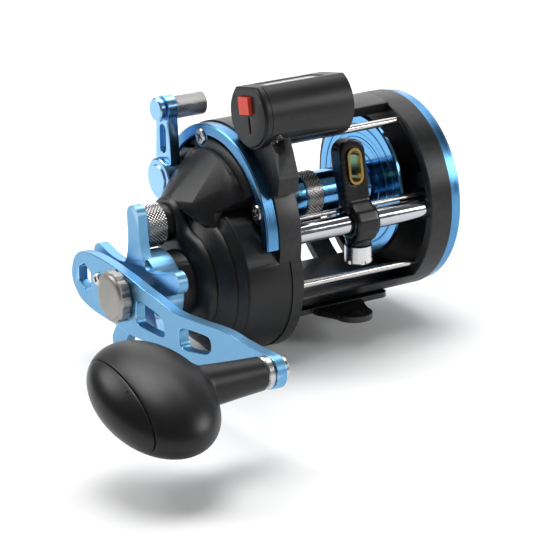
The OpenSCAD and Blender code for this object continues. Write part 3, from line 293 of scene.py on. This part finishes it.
M["rubber"] = black_plastic("knob_rubber", (0.0062, 0.0063, 0.0070), 0.37, 3000, 0.10, (0.018, 0.018, 0.020))
M["knob_cap"] = black_plastic("knob_cap", (0.0056, 0.0057, 0.0064), 0.36, 3200, 0.08, (0.018, 0.018, 0.020))
M["stem"] = black_plastic("knob_stem", (0.013, 0.013, 0.014), 0.38, 3000, 0.06)
M["red"] = black_plastic("reset_red", (0.72, 0.055, 0.025), 0.34, 1800, 0.05, (0.9, 0.15, 0.1))
M["white"] = black_plastic("number_wheel", (0.75, 0.75, 0.72), 0.4, 1500, 0.04, (0.8, 0.8, 0.78))
g = Mat("window_clear", (0.93, 0.95, 0.97), 0.0, 0.08)
g.set("Transmission Weight", 0.55)
g.set("IOR", 1.46)
g.link(g.ramp(g.noise(300, 3), 0.3, 0.7, 0.05, 0.14), g.b.inputs["Roughness"])
g.link(g.mix(g.ramp(g.noise(60, 2), 0.3, 0.7), (0.86, 0.88, 0.92), (0.95, 0.96, 0.98)), g.b.inputs["Base Color"])
M["window"] = g

NODE_MAT = {
    "frame": "graphite", "foot": "foot", "foot_screws": "screw", "gear_side_plate": "graphite", "left_trim_ring": "ring", "plate_screws": "screw",
    "bridge_plate": "steel", "right_side_plate": "graphite", "right_side_cover": "graphite", "right_trim_ring": "ring", "spool": "spool", "spool_shaft": "steel",
    "line_grip_band": "knurl", "click_gear": "brass", "spool_bearings": "steel", "cast_control_cap": "knurl", "tension_shims": "brass", "clutch_lever": "lever",
    "lever_cap_screw": "lever", "lever_knob": "knurl", "clutch_cam": "steel", "pinion_yoke": "brass", "yoke_posts": "steel", "pinion": "brass", "main_gear": "brass",
    "drag_washers": "friction", "drag_spring": "steel", "drive_shaft": "steel", "anti_reverse_ratchet": "steel", "anti_reverse_dog": "steel", "anti_reverse_bearing": "steel",
    "star_drag": "machined", "handle_arm": "machined", "handle_nut": "nut", "handle_lock_screw": "screw", "knob_shaft": "steel", "knob_bushings": "bushing",
    "handle_knob": "rubber", "knob_end_cap": "knob_cap", "level_wind_tube": "chrome", "level_wind_worm": "steel", "worm_gear": "brass", "level_wind_idler": "idler", "idler_post": "steel",
    "line_guide": "guide", "line_guide_eyelet": "gold", "guide_pawl": "steel", "pawl_cap": "cap", "front_rods": "rod", "counter_housing": "panel", "counter_end_cap": "panel",
    "counter_window": "window", "counter_wheel_hundreds": "white", "counter_wheel_tens": "white", "counter_wheel_ones": "white", "counter_shaft": "steel", "reset_button": "red",
    "counter_screw": "screw", "clicker_button": "steel", "clicker_tongue": "steel",
}
for n, o in N.items():
    o.data.materials.clear()
    o.data.materials.append(M[NODE_MAT[n]].m)


# ---------------------------------------------------------------- mesh kit
def clean_bm(node, ang=0.6):
    """A copy of a CAD node's mesh with its seams welded and its flat areas made whole faces."""
    bm = bmesh.new()
    bm.from_mesh(N[node].data)
    bmesh.ops.remove_doubles(bm, verts=bm.verts, dist=2e-6)
    bmesh.ops.dissolve_degenerate(bm, dist=1e-6, edges=bm.edges)
    bmesh.ops.dissolve_limit(bm, angle_limit=R(ang), use_dissolve_boundaries=False, verts=bm.verts, edges=bm.edges, delimit=set())
    return bm


def finish_obj(name, bm, mats, smooth=35.0):
    me = bpy.data.meshes.new(name)
    bm.normal_update()
    bm.to_mesh(me)
    bm.free()
    for m in mats:
        me.materials.append(m.m)
    for p in me.polygons:
        p.use_smooth = True
    me.set_sharp_from_angle(angle=R(smooth))
    o = bpy.data.objects.new(name, me)
    COL.objects.link(o)
    return o


def bevelled(node, width, seg=2, angle=28, mats=None, edge_mat=None, smooth=40.0, slot=None, ang=0.6, drop=None):
    """The node with its sharp edges rounded, as a new piece that stands for the node."""
    bm = clean_bm(node, ang)
    o = finish_obj(node + "_body", bm, mats or [M[NODE_MAT[node]]], smooth)
    if edge_mat is not None:
        o.data.materials.append(edge_mat.m)
    b = o.modifiers.new("round", "BEVEL")
    b.width, b.segments, b.limit_method, b.angle_limit = width * MM, seg, "ANGLE", R(angle)
    b.harden_normals, b.miter_outer, b.use_clamp_overlap = True, "MITER_ARC", True
    if edge_mat is not None:
        b.material = 1
    stand_in(o, node)
    return o


REC = frame["record"]
BODY = {n: b for b, ns in REC["behaviour"]["bodies"].items() for n in ns}


def stand_in(o, node):
    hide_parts(node)
    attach(o, BODY[node])
    return o


def from_grid(name, P, mats, close_u=True, close_v=False, caps=(), smooth=40.0, flip=False):
    """A skin over a grid of points P[i][j]; u wraps round by default. caps holds 0 and/or -1: those v ends are closed."""
    nu, nv = len(P), len(P[0])
    bm = bmesh.new()
    vs = [[bm.verts.new(p) for p in row] for row in P]
    for i in range(nu if close_u else nu - 1):
        for j in range(nv if close_v else nv - 1):
            q = [vs[i][j], vs[(i + 1) % nu][j], vs[(i + 1) % nu][(j + 1) % nv], vs[i][(j + 1) % nv]]
            bm.faces.new(q[::-1] if flip else q)
    for c in caps:
        ring = [vs[i][c] for i in range(nu)]
        f = bm.faces.new(ring)
    bmesh.ops.recalc_face_normals(bm, faces=bm.faces)
    return finish_obj(name, bm, mats, smooth)


def lathe(name, prof, y, z, seg, mats, smooth=30.0, cuts=None):
    """A closed body of revolution about the X axis at (y, z) mm. prof is a closed list of (radius, x) in mm."""
    P = []
    for i in range(seg):
        a = 2 * math.pi * i / seg
        P.append([W(x, y + r * math.cos(a), z + r * math.sin(a)) for r, x in prof])
    return from_grid(name, P, mats, True, True, (), smooth)


def knurled(name, x0, x1, r, y, z, mats, pitch=0.9, depth=0.16, ends=0.5, bore=None, axis="x", org=None):
    """A cylinder with a cut diamond knurl between two plain chamfered ends."""
    n = max(12, int(round(2 * math.pi * r / pitch)))
    px = pitch / 4
    L = x1 - x0 - 2 * ends
    m = max(4, int(round(L / px)))
    nu = 4 * n
    xs = [x0 + ends + L * j / m for j in range(m + 1)]
    P, relief = [], []
    for i in range(nu):
        a = 2 * math.pi * i / nu
        pts = []
        if bore:
            pts.append((bore, x0, 0.8))
        pts += [(r - ends * 0.9 - depth, x0, 0.8), (r - depth, x0 + ends * 0.8, 0.8)]
        for j, x in enumerate(xs):
            u, v = (i + j) % 4, (i - j) % 4
            h = min(min(u, 4 - u) / 2, min(v, 4 - v) / 2)
            pts.append((r - depth + depth * h, x, h))
        pts += [(r - depth, x1 - ends * 0.8, 0.8), (r - ends * 0.9 - depth, x1, 0.8)]
        if bore:
            pts.append((bore, x1, 0.8))
        P.append([W(x, y + rr * math.cos(a), z + rr * math.sin(a)) for rr, x, _ in pts])
        relief += [h for _, _, h in pts]
    o = from_grid(name, P, mats, True, bool(bore), () if bore else (0, -1), 12.0)
    # relief runs from 0 in the valleys to 1 on the peaks; the knurl material reads it to paint shade into the valleys.
    o.data.attributes.new("relief", "FLOAT", "POINT").data.foreach_set("value", relief)
    return o


# ---------------------------------------------------------------- pieces
def try_bevel(node, *a, **k):
    return bevelled(node, *a, **k)


try_bevel("right_trim_ring", 0.35, 3, edge_mat=M["ring_flat"])
try_bevel("left_trim_ring", 0.3, 2, edge_mat=M["ring_flat"])
try_bevel("frame", 0.45, 2)
try_bevel("gear_side_plate", 0.4, 2)
try_bevel("right_side_cover", 0.5, 3)
try_bevel("foot", 0.35, 2)
try_bevel("handle_arm", 0.55, 3, edge_mat=M["polish"])
try_bevel("star_drag", 0.4, 2, edge_mat=M["polish"])
try_bevel("clutch_lever", 0.4, 2, edge_mat=M["polish"])
try_bevel("handle_nut", 0.25, 2)
try_bevel("counter_housing", 0.6, 3)
try_bevel("counter_end_cap", 0.5, 3)
try_bevel("reset_button", 0.5, 3)


def sculpted(node, voxel, rounds, factor, mats=None, smooth=60.0):
    """The node as one soft moulded form: its mesh rebuilt at an even grain, then relaxed."""
    bm = clean_bm(node, 0.4)
    bmesh.ops.triangulate(bm, faces=[f for f in bm.faces if len(f.verts) > 4])
    o = finish_obj(node + "_form", bm, mats or [M[NODE_MAT[node]]], smooth)
    r = o.modifiers.new("grain", "REMESH")
    r.mode, r.voxel_size, r.use_smooth_shade = "VOXEL", voxel * MM, True
    c = o.modifiers.new("relax", "SMOOTH")
    c.factor, c.iterations = factor, rounds
    return stand_in(o, node)


sculpted("line_guide", 0.34, 16, 0.5)
try_bevel("pawl_cap", 0.2, 2)


def knob():
    """Flattened egg leaning back on a tapered stem, with an oval end cap set in a fine groove."""
    cx, ax, aa, cc, lean = -130.0, 19.8, 27.68, 13.04, R(18.6)
    seg = 128
    stem = ((-89.0, 5.4), (-89.5, 5.8), (-98, 6.3), (-106, 6.9), (-112.5, 7.4), (-124, 7.4), (-150, 0.0))

    def stem_r(x):
        for (x0, r0_), (x1, r1_) in zip(stem, stem[1:]):
            if x <= x0 and x >= x1:
                return r0_ + (r1_ - r0_) * (x0 - x) / (x0 - x1)
        return 0.0

    def ring(x, inset=0.0, with_stem=True, q=None):
        if q is None:
            q = math.sqrt(max(0.0, 1 - ((x - cx) / ax) ** 2))
        a, b = max(0.001, aa * q - inset), max(0.001, cc * q - inset)
        out = []
        for i in range(seg):
            th = 2 * math.pi * i / seg
            # even spacing round the oval, then lean
            u, v = a * math.cos(th), b * math.sin(th)
            r = math.hypot(u, v)
            if with_stem:
                rs = stem_r(x)
                rr = (r ** 14 + rs ** 14) ** (1 / 14)
                if r < 1e-6 or rs > r:
                    # a round section: blend the angle too, so the rings stay evenly spaced
                    k = min(1.0, max(0.0, (rs - r) / 1.2))
                    ang = math.atan2(v, u)
                    d = (th - ang + math.pi) % (2 * math.pi) - math.pi
                    ang += d * k
                    u, v = rr * math.cos(ang), rr * math.sin(ang)
                else:
                    u, v = u * rr / r, v * rr / r
            y, z = u * math.cos(lean) - v * math.sin(lean), u * math.sin(lean) + v * math.cos(lean)
            out.append(W(x, ky + y, kz + z))
        return out

    rows = [ring(-141.0, 2.0, False), ring(-141.72, 0.5, False), ring(-141.72, 0.18, False), ring(-141.6, 0.05, False)]
    a0 = math.acos((-141.4 - cx) / ax)
    a1 = math.acos((-111.2 - cx) / ax)
    rows += [ring(cx + ax * math.cos(a0 + (a1 - a0) * k / 40)) for k in range(41)]
    rows += [ring(x) for x in (-110.9, -110.6, -110.3, -110.0, -109, -107.5, -105, -102, -99, -96, -93, -90.6, -89.8, -89.5, -89.2)]
    rows += [ring(-89.02, 0)]
    P = [[r[i] for r in rows] for i in range(seg)]
    o = from_grid("knob_body", P, [M["rubber"]], True, False, (0, -1), 38)
    stand_in(o, "handle_knob")
    rows = [ring(cx - (ax - 0.32 * (1 - (t / 51) ** 2)) * math.cos(R(t)), 0, False, math.sin(R(t))) for t in (1.5, 5, 9, 13, 17, 21, 25, 29, 33, 37, 41, 45, 48.5, 51)]
    rows += [ring(-142.28, 0.03, False), ring(-142.16, 0.1, False), ring(-142.1, 0.25, False), ring(-142.1, 0.5, False), ring(-141.9, 2.2, False)]
    P = [[r[i] for r in rows] for i in range(seg)]
    o = from_grid("knob_cap", P, [M["knob_cap"]], True, False, (0, -1), 38)
    stand_in(o, "knob_end_cap")


knob()
stand_in(knurled("cast_cap_knurled", -72.6, -64.3, 8.25, 0, 4, [M["knurl"]], 1.30, 0.30, 0.5, 7.26), "cast_control_cap")
cap_face = lathe("cast_cap_face", [(0.02, -73.35), (5.9, -73.35), (6.6, -73.2), (6.9, -72.9), (7.0, -72.62), (6.9, -72.5), (0.02, -72.5)], 0, 4, 96, [M["nut"]])
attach(cap_face, "cast_cap")
stand_in(knurled("lever_knob_knurled", -44.3, -31.1, 4.6, 21.6, 40.0, [M["knurl"]], 1.28, 0.28, 0.4), "lever_knob")
stand_in(knurled("grip_band_knurled", -3.9, 3.3, 8.8, 0, 4, [M["knurl"]], 1.28, 0.28, 0.2, 8.1), "line_grip_band")

# ---------------------------------------------------------------- stage and light
def plane_mat(name, base, rough):
    m = Mat(name, base, 0, rough)
    m.link(m.mix(m.ramp(m.noise(3, 2), 0.3, 0.7), tuple(base), tuple(c * 0.985 for c in base)), m.b.inputs["Base Color"])
    m.set("Specular IOR Level", 0.2)
    return m


FLOOR_Z = CAD_BOX[0][2] - 0.0005
prof = [(-6.0, 0.0), (1.2, 0.0), (1.6, 0.02), (1.95, 0.12), (2.2, 0.32), (2.35, 0.6), (2.42, 1.0), (2.42, 4.5)]
bm = bmesh.new()
rows = []
for d, h in prof:
    rows.append([bm.verts.new(Vector((0, 0, FLOOR_Z + h)) - Vector((back.x, back.y, 0)).normalized() * d + Vector((r0.x, r0.y, 0)) * s) for s in (-7, 7)])
for a, b in zip(rows, rows[1:]):
    bm.faces.new((a[0], a[1], b[1], b[0]))
floor = finish_obj("floor", bm, [plane_mat("floor_white", (0.90, 0.90, 0.90), 0.7)], 60)

world = bpy.data.worlds.new("studio")
SC.world = world
world.use_nodes = True
world.node_tree.nodes["Background"].inputs[0].default_value = (1, 1, 1, 1)
world.node_tree.nodes["Background"].inputs[1].default_value = 0.16


def area(name, loc, target, size, power, colour=(1, 1, 1), size_y=None):
    l = bpy.data.lights.new(name, "AREA")
    l.shape, l.size, l.size_y = "RECTANGLE", size, size_y or size
    l.energy, l.color = power, colour
    o = bpy.data.objects.new(name, l)
    COL.objects.link(o)
    o.location = loc
    o.rotation_euler = (Vector(target) - Vector(loc)).to_track_quat("-Z", "Y").to_euler()
    return o


C0 = Vector((-0.03, -0.01, 0.03))
H = Vector((back.x, back.y, 0)).normalized()          # towards the camera, level
S = Vector((r0.x, r0.y, 0)).normalized()              # to the camera's right
U = Vector((0, 0, 1))
area("key_top", C0 + U * 1.25 - H * 0.05 - S * 0.10, C0, 0.60, 7.0, size_y=0.60)
area("left_soft", C0 - S * 0.90 - H * 0.22 + U * 0.85, C0, 0.55, 5.5, size_y=0.55)
area("right_soft", C0 + S * 1.10 + H * 0.14 + U * 0.42, C0, 0.50, 6.0, size_y=0.42)
area("rear_rim", C0 - H * 1.15 + U * 0.75 + S * 0.2, C0, 0.9, 2.2)
area("backdrop_wash", C0 - H * 0.9 + U * 1.7, C0 - H * 2.0 + U * 0.0, 1.6, 34)

SC.view_settings.view_transform = "Standard"
SC.view_settings.look = "None"
